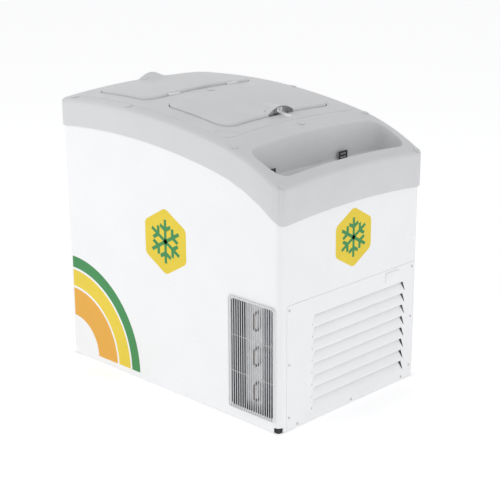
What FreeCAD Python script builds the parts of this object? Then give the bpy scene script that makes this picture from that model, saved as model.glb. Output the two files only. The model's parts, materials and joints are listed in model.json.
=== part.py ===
import FreeCAD, Part
import math
import os

V = FreeCAD.Vector
os.makedirs("parts", exist_ok=True)

# An ice merchandiser freezer, in millimetres.  The origin is the middle of the footprint on the
# floor.  +X runs along the cabinet to the end that holds the machinery, -Y is the long side with
# the wire guard, and +Z is up.  "Front" below is the machinery end and "rear" the other end.

# ---------------------------------------------------------------------------------------------
# Driving sizes
# ---------------------------------------------------------------------------------------------

# Cabinet
body_length = 976.0
body_width = 650.0
body_corner_r = 18.0
sheet_t = 1.2
skirt_gap = 3.0            # floor to the lower edge of the outer sheet
corner_notch_w = 20.0      # cut-out of the sheet at each bottom corner
corner_notch_h = 17.0
corner_steps = 3           # straight steps round a small corner
fit_gap = 0.3              # between pieces that lie against each other
lay_gap = 0.02             # between faces that are fixed to each other
weld_gap = 0.05            # between small fittings and what carries them

# The arched seam between the cabinet and its top, at the long sides
crest_x = -240.0
crest_z = 815.5
arch_r = 2440.0
nose_x = 230.0             # where the arch tightens towards the machinery end
nose_r = 610.0
crown_r = 3200.0           # cross crown of the top, from side to side
crown_steps = 4            # straight steps across the crown
arch_steps = 6             # and along the arch
nose_steps = 5

# Top moulding
band_h = 88.0              # height of the band, square to the seam
top_proud = 8.0            # how far the moulding stands out past the cabinet
top_wall = 7.0
top_corner_r = 28.0
top_edge_r = 22.0
edge_steps = 3             # straight steps round its upper edge
sheet_tuck = 12.0          # how far the outer sheet runs up behind the band
platform_h = 1.5           # raised field round the lids
nose_joint_x = 310.0       # joint between the main moulding and its nose
platform_rear_x = -440.0
platform_front_x = 243.0
platform_half_w = 295.0
platform_r = 30.0

# Lids
lid_half_w = 238.0
lid_r = 45.0
rear_lid_length = 257.0
front_lid_length = 278.0
bridge_x = -123.0          # middle of the bridge between the lids
bridge_w = 70.0            # from one hinge line to the other
lid_gap = 3.0              # round the edge of a lid
lid_proud = 9.0
lid_edge = 4.0             # bevel round the top of a lid
lid_wall = 4.5
recess_depth = 12.0        # of the seat that a lid lies in
gasket_h = 3.7
gasket_w = 10.0
hatch_hinge_inset = 30.0   # edge of the lid to edge of the hatch
hatch_outer_inset = 48.0
hatch_side_inset = 28.0
hatch_r = 22.0
throat_wall = 4.0
plug_depth = 36.0
plug_gap = 4.0
plug_draft = 8.0
pan_t = 2.0

# Grip hoods of the lids
hood_half_w = 62.0
hood_h = 20.0
hood_run = 88.0            # length over which the hood fades into the lid
hood_wall = 3.5
hood_steps = 6
hood_root = 6.0            # how far the hood reaches down into the lid
hood_sink = 1.0            # the hood's inner end below the lid's top
pocket_depth = 26.0

# Hinges
hinge_y = 130.0
hinge_w = 48.0
hinge_rise = 2.2           # axis above the field round the lids
knuckle_r = 4.5
pin_r = 2.5
pin_fit = 0.03
run_fit = 0.06
knuckle_gap = 0.4
barrel_room = 0.7
barrel_end_room = 1.0
leaf_axis_gap = 0.2        # from the hinge line to each leaf
leaf_drop = 0.6            # from the barrel down to the wide part of a leaf
leaf_foot_gap = 1.0        # from a leaf to the floor of the lid's seat
pin_end = 0.5

# Padlock brackets
lock_w = 22.0
lock_t = 2.5
lock_y = 8.0
lock_foot = 30.0
lock_reach = 20.0
lock_h = 15.0
eye_r = 4.0
eye_edge = 2.6             # metal over the eye
plate_t = 2.0
plate_short = 2.0          # the lid's plate below the top of the angle
plate_gap = 1.5            # from the lid's plate to the wall behind it

# Scoop tray at the nose
tray_floor_z = 740.0
tray_back_x = 332.0
tray_front_x = 458.0
tray_half_w = 286.0
tray_r = 36.0
tray_draft = 4.0
tray_wall = 6.0
tray_floor_edge = 7.0      # bevel round the floor
tray_hole_r = 20.0
tray_hole_x = 378.0
clip_w = 40.0
clip_h = 31.0
clip_foot = 18.0
clip_t = 2.5
clip_hole_r = 2.3
clip_slot = 13.0           # half length of the slots
clip_slot_zs = (11.0, 22.0)
clip_hole_x = 10.8
clip_hole_ys = (-10.0, 10.0)
clip_ys = (-204.0, 122.0)

# Screw caps of the top moulding
cap_r = 12.5
cap_h = 1.6
cap_sides = 12
side_cap_edge = 25.0       # from the side of the moulding
nose_cap_edge = 12.0       # from the end of the moulding
rear_cap_edge = 36.0
side_cap_xs = (-438.0, -173.0, 291.0)
far_cap_xs = (-45.0, 272.0)

# Ice tank
tank_rear_x = -428.0
tank_front_x = 290.0
tank_step_x = 212.0
tank_step_z = 455.0
tank_floor_z = 88.0
tank_half_w = 262.0
tank_r = 25.0
ceiling_drop = 12.0        # ceiling below the seam
ceiling_lip = 6.0
ceiling_margin = 8.0       # ceiling past the tank's walls
coil_zs = (170.0, 290.0, 410.0, 530.0, 650.0)
coil_w = 7.0
coil_h = 12.0
coil_corner = 0.55         # share of the corner radius that a straight corner cuts off
coil_riser_pitch = 70.0
drain_r = 14.0
drain_x = -300.0
drain_wall = 2.5
drain_fit = 0.2
drain_tail = 1.0           # outlet below the base
bung_h = 20.0
bung_lip = 3.0
bung_bevel = 1.5

# Machine bay
bay_x = 262.0
bay_top_z = 405.0
bay_bend_r = 6.0

# Wire guard on the long side
guard_x0 = 282.0
guard_x1 = 474.0
guard_z0 = 36.8
guard_z1 = 399.0
guard_frame_r = 2.0
guard_corner_r = 9.0
guard_wire_r = 1.4
guard_cross_r = 1.0
guard_pitch = 9.3
guard_cross_zs = (157.0, 274.0)
guard_lap = 9.0            # guard over the edge of its opening
guard_corner_cut = 5.4     # straight corner of the guard's frame
wire_sides = 6

# Louvred end panel
panel_y0 = -291.0
panel_y1 = 308.0
panel_top_z = 400.0
panel_t = 1.0
panel_r = 8.0
panel_gap = 0.8
frame_lap = 20.0
frame_foot = 12.0          # window of the end frame above the foot screws
frame_head = 4.0           # and below the top of the panel
frame_window_r = 6.0
louvre_count = 8
louvre_first_z = 66.4
louvre_pitch = 39.0
louvre_y0 = -171.0
louvre_y1 = 255.0
louvre_slot = 4.0
louvre_tab = 27.0
louvre_in = 9.0
louvre_splay = 10.0
louvre_side_slit = 3.0
screw_head_r = 3.6
screw_head_h = 1.8
screw_r = 1.9
screw_len = 7.0
screw_hole_gap = 0.2
panel_side_screw_zs = (44.0, 214.0, 385.0)
panel_side_screw_in = 10.5
panel_foot_screw_ys = (-243.0, 7.0, 257.0)
panel_foot_screw_z = 13.0

# Thermostat and its cover
cover_y0 = 163.0
cover_y1 = 230.0
cover_z0 = 357.0
cover_z1 = 392.0
cover_proud = 3.0
cover_wall = 1.6
cover_lap = 4.0
cover_snap = 6.0
cover_bevel = 4.0
cover_skirt_bevel = 2.0
stat_depth = 30.0
stat_half_w = 22.0
stat_half_h = 16.0
stat_bevel = 4.0
stat_gap = 3.0             # from the cover's skirt to the end of the knob
knob_len = 9.0
knob_r = 7.0
hanger_half_w = 10.0
hanger_inset = 4.0

# Base and feet
base_z = 4.0
base_rim_h = 18.0
foot_block = 33.0
foot_pad = 58.0
foot_inset = 7.0
foot_bevel = 5.0
foot_h = 19.0

# Condenser and its fan
cond_x0 = 350.0
cond_x1 = 394.0
cond_y0 = -296.0
cond_y1 = -56.0
cond_z0 = 44.0
cond_z1 = 384.0
cond_tube_r = 4.0
cond_rows = 6
cond_bend = 14.0
cond_bend_cut = 8.4        # straight corner of a return bend
fin_pitch = 16.0
fin_t = 7.0
fin_depth = 9.0
fin_inset = 3.0            # fins below the end plates' edges
cond_plate_t = 1.5
cond_plate_lip = 1.0
shroud_depth = 26.0
shroud_t = 1.2
fan_r = 74.0
fan_tip_gap = 5.0
fan_blades = 5
fan_hub_r = 20.0
fan_chord = 46.0
fan_pitch_deg = 32.0
fan_blade_t = 1.6
fan_camber = 0.1
fan_depth = 18.0
fan_twist_deg = 14.0
fan_root_share = 0.5       # chord at the root, as a share of the chord at the tip
fan_root_r = 16.0
hub_cap_t = 4.0
motor_r = 29.0
motor_len = 38.0
motor_gap = 10.0           # from the bulkhead to the motor
motor_shaft_r = 3.0
motor_shaft_len = 20.0
hub_gap = 8.0              # from the motor to the hub
bracket_t = 2.0
bracket_half_w = 6.0
bracket_plate = 20.0       # half width of its middle plate
bracket_plate_bevel = 8.0
bracket_plate_in = 12.0    # where the arms start
bracket_clear = 12.0       # from the fan's opening to the arms' feet
bracket_foot = 14.0
shaft_room = 1.5

# Compressor
comp_x = 374.0
comp_y = 120.0
comp_r = 78.0
comp_base_z = 30.0
comp_h = 186.0
comp_form = ((0.7, 0.0), (0.96, 0.14), (1.0, 0.52), (0.94, 0.785), (0.78, 0.935), (0.4, 1.0))
comp_rim_share = 0.52      # height of the rim, as a share of the pot's
comp_rim_out = 5.0
comp_rim_half = 4.0
comp_plate_t = 3.0
comp_foot_x = 84.0
comp_foot_y = 62.0
comp_foot_edge = 4.0       # plate outside the mounts
relay_half_w = 34.0
relay_out = 22.0
relay_bevel = 6.0
relay_rise = 56.0
relay_h = 62.0
mount_r = 12.0
pipe_r = 4.0
pipe_run = 36.0
pipe_port = 15.6           # pipe stubs from the middle of the pot
pipe_bend = 9.0
pipe_sides = 8

# Straight sides that stand for circles
fine_r = 12.0
fine_sides = 20
coarse_sides = 10

# ---------------------------------------------------------------------------------------------
# Sizes that follow from the ones above
# ---------------------------------------------------------------------------------------------

half_l = body_length / 2
half_w = body_width / 2
top_half_l = half_l + top_proud
top_half_w = half_w + top_proud
far = 2 * body_length      # safely outside everything

nose_sin = (nose_x - crest_x) / arch_r
nose_cos = math.sqrt(1 - nose_sin ** 2)
arch_c = V(crest_x, 0, crest_z - arch_r)
seam_at_nose = arch_c + V(nose_sin, 0, nose_cos) * arch_r
nose_c = seam_at_nose - V(nose_sin, 0, nose_cos) * nose_r

front_hinge_x = bridge_x + bridge_w / 2
rear_hinge_x = bridge_x - bridge_w / 2
LIDS = {
    "rear": {"s": -1, "hinge": rear_hinge_x, "outer": rear_hinge_x - rear_lid_length},
    "front": {"s": 1, "hinge": front_hinge_x, "outer": front_hinge_x + front_lid_length},
}


# ---------------------------------------------------------------------------------------------
# Helpers
# ---------------------------------------------------------------------------------------------

def save(name, shape):
    """One STEP file for each piece; a group of like pieces is a compound of solids."""
    solids = shape.Solids
    out = solids[0] if len(solids) == 1 else Part.makeCompound(solids)
    out.exportStep("parts/" + name + ".step")


def steps(a, b, count):
    return [a + (b - a) * i / count for i in range(count + 1)]


def fuse(shapes):
    return shapes[0].multiFuse(shapes[1:]) if len(shapes) > 1 else shapes[0]


def box(x0, x1, y0, y1, z0, z1):
    return Part.makeBox(x1 - x0, y1 - y0, z1 - z0, V(x0, y0, z0))


def span(a, b):
    return (a, b) if a < b else (b, a)


def flat_faces(a, b, c, d):
    """A four-cornered face, or two three-cornered ones where the corners aren't in a plane."""
    if abs((b - a).cross(d - a).normalize().dot(c - a)) < 1e-6:
        return [polygon([a, b, c, d])]
    return [polygon([a, b, c]), polygon([a, c, d])]


def skin(levels):
    """Solid through outlines that all have the same number of points."""
    faces = [polygon(levels[0]), polygon(levels[-1])]
    for low, high in zip(levels, levels[1:]):
        for i in range(len(low)):
            faces += flat_faces(low[i - 1], low[i], high[i], high[i - 1])
    shell = Part.makeShell(faces)
    shell.sewShape()
    solid = Part.makeSolid(shell)
    return solid if solid.Volume > 0 else solid.reversed()


def polygon(points):
    return Part.Face(Part.makePolygon(list(points) + [points[0]]))


def soft_outline(x0, x1, y0, y1, r):
    """Rectangle whose corners are rounded in a few straight steps, as points (x, y)."""
    points = []
    for cx, cy, start in ((x1 - r, y0 + r, -90), (x1 - r, y1 - r, 0),
                          (x0 + r, y1 - r, 90), (x0 + r, y0 + r, 180)):
        for a in steps(math.radians(start), math.radians(start + 90), corner_steps):
            points.append((cx + r * math.cos(a), cy + r * math.sin(a)))
    return points


def soft_level(x0, x1, y0, y1, r, z):
    return [V(x, y, z) for x, y in soft_outline(x0, x1, y0, y1, r)]


def prism(x0, x1, y0, y1, r, z0, z1):
    return polygon(soft_level(x0, x1, y0, y1, r, z0)).extrude(V(0, 0, z1 - z0))


def bevel_outline(x0, x1, y0, y1, cut):
    """Rectangle with its corners cut off, as points (x, y)."""
    return [(x0 + cut, y0), (x1 - cut, y0), (x1, y0 + cut), (x1, y1 - cut),
            (x1 - cut, y1), (x0 + cut, y1), (x0, y1 - cut), (x0, y0 + cut)]


def bevel_block(x0, x1, y0, y1, cut, z0, z1):
    points = [V(x, y, z0) for x, y in bevel_outline(x0, x1, y0, y1, cut)]
    return polygon(points).extrude(V(0, 0, z1 - z0))


def hex_bar(x0, x1, y, z, across):
    """Six-sided bar along X."""
    return rod(V(x0, y, z), V(x1, y, z), across / math.sqrt(3), 6)


def turned(profile, x, y):
    """Round body on a vertical line, from its outline as points (r, z) upwards."""
    sides = round_sides(max(r for r, _ in profile))
    return skin([ring_points(V(x, y, z), V(0, 0, 1), r, sides) for r, z in profile])


def plan(half_x, half_y, r, z0=0.0, z1=far):
    return prism(-half_x, half_x, -half_y, half_y, r, z0, z1)


def tapered(x0, x1, y0, y1, r, z0, z1, draft):
    """Rounded prism whose walls lean outwards from z0 up to z1."""
    d = (z1 - z0) * math.tan(math.radians(draft))
    return skin([soft_level(x0, x1, y0, y1, r, z0),
                 soft_level(x0 - d, x1 + d, y0 - d, y1 + d, r + d, z1)])


def round_sides(r):
    """Straight sides that stand for a circle."""
    return fine_sides if r > fine_r else coarse_sides


def ring_points(centre, along, r, sides=None):
    """Regular outline of radius r round a centre, square to a direction."""
    along = V(along).normalize()
    side = along.cross(V(0, 0, 1) if abs(along.z) < 0.5 else V(1, 0, 0)).normalize()
    up = along.cross(side)
    return [centre + side * (r * math.cos(a)) + up * (r * math.sin(a))
            for a in steps(0, 2 * math.pi, sides or round_sides(r))[1:]]


def rod(start, end, r, sides=None):
    """Straight round bar, in straight sides."""
    d = end - start
    return polygon(ring_points(start, d, r, sides)).extrude(d)


def hole_r(r, sides=None):
    """Radius whose sides lie wholly outside a circle of radius r."""
    return r / math.cos(math.pi / (sides or round_sides(r)))


def tube(start, end, r, bore):
    return rod(start, end, r).cut(rod(start, end, hole_r(bore, round_sides(r)), round_sides(r)))


def disc(x, y, z0, z1, r):
    return rod(V(x, y, z0), V(x, y, z1), r)


def on_line(points, x):
    """Height of a line of points at x, run on in a straight line past its ends."""
    i = 1
    while i < len(points) - 1 and x > points[i][0]:
        i += 1
    (x0, z0), (x1, z1) = points[i - 1], points[i]
    return z0 + (z1 - z0) * (x - x0) / (x1 - x0)


def arch_line(offset=0.0):
    """The arch along the long sides as points (x, z): 0 is the top, -band_h the seam."""
    reach = top_half_l + band_h
    big, small = arch_r + band_h + offset, nose_r + band_h + offset
    joint = math.asin(nose_sin)
    rear = -math.asin((reach + crest_x) / (arch_r + band_h))
    front = math.asin((reach - nose_c.x) / (nose_r + band_h))
    line = [(arch_c.x + big * math.sin(a), arch_c.z + big * math.cos(a))
            for a in steps(rear, joint, arch_steps)]
    return line + [(nose_c.x + small * math.sin(a), nose_c.z + small * math.cos(a))
                   for a in steps(joint, front, nose_steps)[1:]]


def crown_line():
    """The crown from side to side as points (y, rise); the rise is nothing at the sides."""
    fall = math.sqrt(crown_r ** 2 - top_half_w ** 2)
    return [(y, math.sqrt(crown_r ** 2 - y * y) - fall)
            for y in steps(-top_half_w, top_half_w, crown_steps)]


def arch_z(x, offset=0.0):
    return on_line(arch_line(offset), x)


def crown(y):
    return on_line(crown_line(), y)


def trimmed(line, a, b):
    inside = [p for p in line if a + 1e-6 < p[0] < b - 1e-6]
    return [(a, on_line(line, a))] + inside + [(b, on_line(line, b))]


def rounded_off(line, end, r):
    """A line's two ends at -end and end, each carried round to the vertical."""
    corners = []
    for s in (-1, 1):
        x = s * (end - r)
        fall = on_line(line, x + s) - on_line(line, x)
        top = math.pi / 2 + math.atan(fall)
        z = on_line(line, x) - r / math.sin(top)
        corners.append([(x + s * r * math.cos(a), z + r * math.sin(a))
                        for a in steps(top, 0.0, edge_steps)])
    rear, front = corners
    inside = [p for p in line if rear[0][0] < p[0] < front[0][0]]
    return rear[::-1] + inside + front


def top_z(x, y, offset=0.0):
    return arch_z(x, offset) + crown(y)


def slope_deg(x):
    """Fall of the top towards +X, in degrees."""
    return math.degrees(math.atan2(arch_z(x - 1) - arch_z(x + 1), 2))


def sweep_across(view, section):
    """Carry a side view, points (x, z), across the object along a section, points (y, rise)."""
    parts = []
    for (y0, z0), (y1, z1) in zip(section, section[1:]):
        face = polygon([V(x, y0, z + z0) for x, z in view])
        parts.append(face.extrude(V(0, y1 - y0, z1 - z0)))
    return fuse(parts).removeSplitter()


def wide_crown():
    reach = top_half_w + band_h / 2
    return trimmed(crown_line(), -reach, reach)


def under(offset, low=-50.0):
    """Everything below the top surface when that surface is moved by offset along its normal."""
    line = arch_line(offset)
    return sweep_across(line + [(line[-1][0], low), (line[0][0], low)], wide_crown())


def layer(upper, lower):
    """The shell between two offsets of the top surface."""
    return sweep_across(arch_line(upper) + arch_line(lower)[::-1], wide_crown())


def on_surface(solid, x, y):
    """Point and outward normal where a vertical line through (x, y) meets the top of a solid."""
    line = Part.makeLine(V(x, y, crest_z + 2 * band_h), V(x, y, tray_floor_z - band_h))
    hits = solid.common(line).Vertexes
    p = max((v.Point for v in hits), key=lambda q: q.z)
    best = min(solid.Faces, key=lambda f: f.distToShape(Part.Vertex(p))[0])
    u, v = best.Surface.parameter(p)
    n = best.normalAt(u, v)
    return p, n if n.z > 0 else n * -1


def swept_pipe(path, ring):
    """Pipe along a line of points, mitred at each of them."""
    return Part.makePolygon(path).makePipeShell([Part.makePolygon(ring + [ring[0]])],
                                                True, False, 1)


def pipe(points, r, bend):
    """Pipe along straight runs, each corner cut by one short run."""
    pts = [V(*p) for p in points]
    path = [pts[0]]
    for i in range(1, len(pts) - 1):
        path.append(pts[i] + (pts[i - 1] - pts[i]).normalize() * bend)
        path.append(pts[i] + (pts[i + 1] - pts[i]).normalize() * bend)
    path.append(pts[-1])
    return swept_pipe(path, ring_points(path[0], path[1] - path[0], r, pipe_sides))


# ---------------------------------------------------------------------------------------------
# Top moulding: arched band, lid seats, hatches and scoop tray
# ---------------------------------------------------------------------------------------------

def lid_plan(lid, grow=0.0, z0=0.0, z1=far):
    x0, x1 = span(lid["hinge"] + lid["s"] * lid_gap / 2, lid["outer"])
    return prism(x0 - grow, x1 + grow, -lid_half_w - grow, lid_half_w + grow,
                 lid_r + grow, z0, z1)


def hatch_span(lid):
    return span(lid["hinge"] + lid["s"] * hatch_hinge_inset,
                lid["outer"] - lid["s"] * hatch_outer_inset)


def hatch_plan(lid, grow=0.0, z0=0.0, z1=far):
    x0, x1 = hatch_span(lid)
    w = lid_half_w - hatch_side_inset + grow
    return prism(x0 - grow, x1 + grow, -w, w, hatch_r + grow, z0, z1)


def tray_form(grow=0.0):
    """Hollow of the scoop tray, or its outside when grown by the wall."""
    lean = math.tan(math.radians(tray_draft))
    low, high = tray_floor_z - grow, crest_z + 2 * band_h
    levels = []
    for z, inset in ((low, tray_floor_edge), (low + tray_floor_edge, 0.0), (high, 0.0)):
        g = grow + (z - tray_floor_z) * lean - inset
        levels.append(soft_level(tray_back_x - g, tray_front_x + g, -tray_half_w - g,
                                 tray_half_w + g, tray_r + g, z))
    return skin(levels)


def hinge_axis_z(lid):
    return top_z(lid["hinge"], hinge_y, platform_h) + hinge_rise


def barrel_rooms(lid):
    """Clear space round both hinge barrels of a lid."""
    room = knuckle_r + barrel_room
    z = hinge_axis_z(lid)
    half = hinge_w / 2 + barrel_end_room
    return [box(lid["hinge"] - room, lid["hinge"] + room, y - half, y + half,
                z - room, z + 2 * band_h) for y in (-hinge_y, hinge_y)]


def cap_places(moulding):
    """Places of the screw caps, each a point on the surface with its normal."""
    y = top_half_w - side_cap_edge
    nose = top_half_l - nose_cap_edge
    middle = (platform_front_x + tray_back_x - 2 * cap_r) / 2
    spots = [(x, -y) for x in side_cap_xs] + [(x, y) for x in far_cap_xs]
    spots += [(nose, -y), (nose, y)]
    spots += [(x, 0.0) for x in (rear_cap_edge - top_half_l, bridge_x, middle)]
    return [on_surface(moulding, px, py) for px, py in spots]


def moulding_blank():
    """Outside of the top moulding: rounded edges all round and the scoop tray in its nose."""
    view = rounded_off(arch_line(), top_half_l, top_edge_r)
    low = tray_floor_z / 2
    body = sweep_across(view + [(top_half_l, low), (-top_half_l, low)],
                        rounded_off(crown_line(), top_half_w, top_edge_r))
    body = body.common(plan(top_half_l, top_half_w, top_corner_r))
    return body.cut(tray_form())


def make_moulding():
    field = prism(platform_rear_x, platform_front_x, -platform_half_w, platform_half_w,
                  platform_r, tray_floor_z, far)
    body = moulding_blank().fuse(layer(platform_h, -top_wall / 2).common(field))
    places = cap_places(body)

    keep = [tray_form(tray_wall)]
    for lid in LIDS.values():
        seat = lid_plan(lid, lid_gap + top_wall)
        keep.append(seat.cut(under(-recess_depth - top_wall)))
        throat = hatch_plan(lid, throat_wall)
        keep.append(throat.cut(under(-band_h - ceiling_drop - ceiling_lip)))
    inner = plan(top_half_l - top_wall, top_half_w - top_wall, top_corner_r - top_wall)
    void = under(-top_wall).common(inner).fuse(under(-band_h))
    for shape in keep:
        void = void.cut(shape)
    body = body.cut(void)

    cuts = []
    for lid in LIDS.values():
        cuts.append(lid_plan(lid, lid_gap).cut(under(-recess_depth)))
        cuts.append(hatch_plan(lid))
        cuts.extend(barrel_rooms(lid))
    cuts.append(Part.makeCylinder(tray_hole_r, band_h, V(tray_hole_x, 0, tray_floor_z - band_h / 2)))
    for shape in cuts:
        body = body.cut(shape)
    joint = nose_joint_x
    main = body.cut(box(joint, far, -far, far, -far, far))
    nose = body.cut(box(-far, joint + lay_gap, -far, far, -far, far))
    return main, nose, places


def make_caps(places):
    return Part.makeCompound([rod(p + n * fit_gap, p + n * (fit_gap + cap_h), cap_r, cap_sides)
                              for p, n in places])


def make_tray_clips():
    """Perforated angles screwed to the foot of the tray's back wall."""
    clips = []
    t = clip_t
    x0 = tray_back_x + tray_floor_edge + fit_gap
    z0 = tray_floor_z + fit_gap
    for y in clip_ys:
        y0, y1 = y - clip_w / 2, y + clip_w / 2
        clip = box(x0, x0 + t, y0, y1, z0, z0 + clip_h).fuse(
            box(x0, x0 + clip_foot, y0, y1, z0, z0 + t))
        for dz in clip_slot_zs:
            clip = clip.cut(box(x0 - t, x0 + 2 * t, y - clip_slot, y + clip_slot,
                                z0 + dz - clip_hole_r, z0 + dz + clip_hole_r))
        for dy in clip_hole_ys:
            clip = clip.cut(disc(x0 + clip_hole_x, y + dy, z0 - t, z0 + 2 * t, clip_hole_r))
        clips.append(clip)
    return Part.makeCompound(clips)


# ---------------------------------------------------------------------------------------------
# Lids
# ---------------------------------------------------------------------------------------------

def hood_section(lid, run, half, h, drop, shrink=0.0):
    """Arched section of a hood, square to X, at a distance in from the lid's outer edge."""
    x = lid["outer"] - lid["s"] * run
    rim = top_z(x, half, lid_proud) - shrink
    crest = top_z(x, 0, lid_proud) + h
    points = []
    for t in steps(-1.0, 1.0, hood_steps):
        points.append(V(x, half * t, rim + (crest - rim) * (1 - t * t)))
    return points + [V(x, half, rim - drop), V(x, -half, rim - drop)]


def hood_form(lid):
    return skin([hood_section(lid, 0.0, hood_half_w, hood_h, hood_root),
                 hood_section(lid, hood_run, hood_half_w / 3, -hood_sink, hood_root)])


def pocket_form(lid, grow=0.0):
    """Finger space under a hood, open outwards and downwards."""
    half = hood_half_w - 2 * hood_wall + grow
    drop = lid_proud + 2 * recess_depth
    fall = hood_h / hood_run
    roof = hood_h - hood_wall + grow
    outer = hood_section(lid, -2.0, half, roof + 2 * fall, drop, 1.0)
    deep = pocket_depth + grow
    inner = hood_section(lid, deep, half, roof - 1.4 * fall * deep, drop, 1.0)
    return skin([outer, inner])


def bevelled(line, a, b, cut):
    """Part of a line with its ends bevelled off."""
    line = trimmed(line, a + cut, b - cut)
    return [(a, line[0][1] - cut)] + line + [(b, line[-1][1] - cut)]


def lid_blank(lid):
    """Outside of a lid, before its finger space is cut."""
    x0, x1 = span(lid["hinge"] + lid["s"] * lid_gap / 2, lid["outer"])
    view = bevelled(arch_line(lid_proud), x0, x1, lid_edge)
    low = top_z(lid["outer"], lid_half_w) - 2 * band_h
    body = sweep_across(view + [(x1, low), (x0, low)],
                        bevelled(crown_line(), -lid_half_w, lid_half_w, lid_edge))
    body = body.common(lid_plan(lid))
    return body.cut(under(gasket_h - recess_depth + fit_gap))


def plug_form(lid, inset):
    x0, x1 = hatch_span(lid)
    z0 = top_z(lid["outer"], lid_half_w) - plug_depth - 2 * recess_depth
    z1 = top_z(lid["hinge"], 0)
    fall = (z1 - z0) * math.tan(math.radians(plug_draft))
    g = plug_gap + inset + fall
    w = lid_half_w - hatch_side_inset
    return tapered(x0 + g, x1 - g, -w + g, w - g, hatch_r - plug_gap, z0, z1, plug_draft)


def make_lid(lid):
    base = gasket_h - recess_depth + fit_gap       # underside of the lid
    pocket = pocket_form(lid)
    lining = pocket_form(lid, hood_wall)
    blank = lid_blank(lid).fuse(hood_form(lid))
    inside = lid_plan(lid, -lid_wall).common(layer(lid_proud - lid_wall, base - pan_t))
    inside = inside.cut(lining)
    cover = blank.cut(inside).cut(pocket)
    for room in barrel_rooms(lid):
        cover = cover.cut(room)

    bottom = base - plug_depth
    flange = lid_plan(lid, -lid_wall - fit_gap).common(layer(base + pan_t, base))
    flange = flange.cut(pocket_form(lid, hood_wall + fit_gap))
    outside = plug_form(lid, 0.0).common(layer(base + pan_t, bottom))
    hollow = plug_form(lid, pan_t).common(layer(base + 2 * pan_t, bottom + pan_t))
    pan = flange.fuse(outside).cut(hollow)

    fill = lid_plan(lid, -lid_wall - fit_gap).common(
        layer(lid_proud - lid_wall - fit_gap, base + pan_t + fit_gap))
    fill = fill.cut(pocket_form(lid, hood_wall + fit_gap))
    plug_fill = plug_form(lid, pan_t + fit_gap).common(
        layer(base + pan_t + 2 * fit_gap, bottom + pan_t + fit_gap))
    fill = fill.fuse(plug_fill)

    gap = (hatch_outer_inset - gasket_w - pocket_depth) / 4
    ring = hatch_plan(lid, gap + gasket_w).cut(hatch_plan(lid, gap))
    gasket = ring.common(layer(base - lay_gap, fit_gap - recess_depth))
    return cover, pan, fill, gasket


# ---------------------------------------------------------------------------------------------
# Hinges and padlock brackets
# ---------------------------------------------------------------------------------------------

def make_hinges(lid):
    """Lift-off hinges in the gap: a leaf on either wall, each with half of the barrel."""
    x, z, s = lid["hinge"], hinge_axis_z(lid), lid["s"]
    inner, outer = leaf_axis_gap, lid_gap / 2 - weld_gap
    foot = top_z(x, hinge_y) - recess_depth + leaf_foot_gap
    clear = z - knuckle_r - leaf_drop
    root = z - (knuckle_r + pin_r) / 2
    fixed, moving, pins = [], [], []
    for y in (-hinge_y, hinge_y):
        y0, y1 = y - hinge_w / 2, y + hinge_w / 2
        xa, xb = span(x - s * inner, x - s * outer)
        fixed.append(fuse([box(xa, xb, y0, y1, foot, clear),
                           box(xa, xb, y0, y - knuckle_gap / 2, foot, root),
                           tube(V(x, y0, z), V(x, y - knuckle_gap / 2, z), knuckle_r,
                                pin_r + pin_fit)]))
        xa, xb = span(x + s * inner, x + s * outer)
        moving.append(fuse([box(xa, xb, y0, y1, foot, clear),
                            box(xa, xb, y + knuckle_gap / 2, y1, foot, root),
                            tube(V(x, y + knuckle_gap / 2, z), V(x, y1, z), knuckle_r,
                                 pin_r + run_fit)]))
        pins.append(rod(V(x, y0 - pin_end, z), V(x, y1 + pin_end, z), pin_r))
    return Part.makeCompound(fixed), Part.makeCompound(moving), Part.makeCompound(pins)


def make_lock(lid):
    """Padlock eyes: an angle on the top moulding and a plate in the lid's finger space."""
    s = lid["s"]
    edge = lid["outer"] + s * lid_gap
    y0, y1 = -lock_w / 2, lock_w / 2
    cut = lock_w / 5
    outline = [V(-lock_reach, y0, 0), V(lock_foot - cut, y0, 0), V(lock_foot, y0 + cut, 0),
               V(lock_foot, y1 - cut, 0), V(lock_foot - cut, y1, 0), V(-lock_reach, y1, 0)]
    foot = polygon(outline).extrude(V(0, 0, lock_t))
    leg = box(-lock_reach, -lock_reach + lock_t, y0, y1, 0, lock_h)
    eye_z = lock_h - eye_r - eye_edge
    eye = rod(V(-2 * lock_reach, 0, eye_z), V(0, 0, eye_z), eye_r)
    angle = foot.fuse(leg).cut(eye)
    back = -lid_gap - pocket_depth + plate_gap
    plate = box(back, back + plate_t, y0, y1, -recess_depth / 2, lock_h - plate_short).cut(eye)
    out = []
    for shape in (angle, plate):
        if s < 0:
            shape = shape.mirror(V(0, 0, 0), V(1, 0, 0))
        shape = shape.copy()
        shape.rotate(V(0, 0, 0), V(0, 1, 0), slope_deg(edge))
        shape.translate(V(edge, lock_y, top_z(edge, lock_y, platform_h) + fit_gap))
        out.append(shape)
    return out


# ---------------------------------------------------------------------------------------------
# Cabinet shell, tank and insulation
# ---------------------------------------------------------------------------------------------

def guard_opening(grow=0.0):
    w = guard_lap
    form = prism(guard_x0 + w - grow, guard_x1 - w + grow, guard_z0 + w - grow,
                 guard_z1 - w + grow, guard_corner_r + grow, 0, 4 * sheet_t)
    form.rotate(V(0, 0, 0), V(1, 0, 0), 90)
    form.translate(V(0, -half_w + 2 * sheet_t, 0))
    return form


def end_form(y0, y1, z0, z1, r, x0, x1):
    """Rounded rectangle on the machinery end, from x0 to x1."""
    form = prism(-z1, -z0, y0, y1, r, x0, x1)
    form.rotate(V(0, 0, 0), V(0, 1, 0), 90)
    return form


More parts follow.
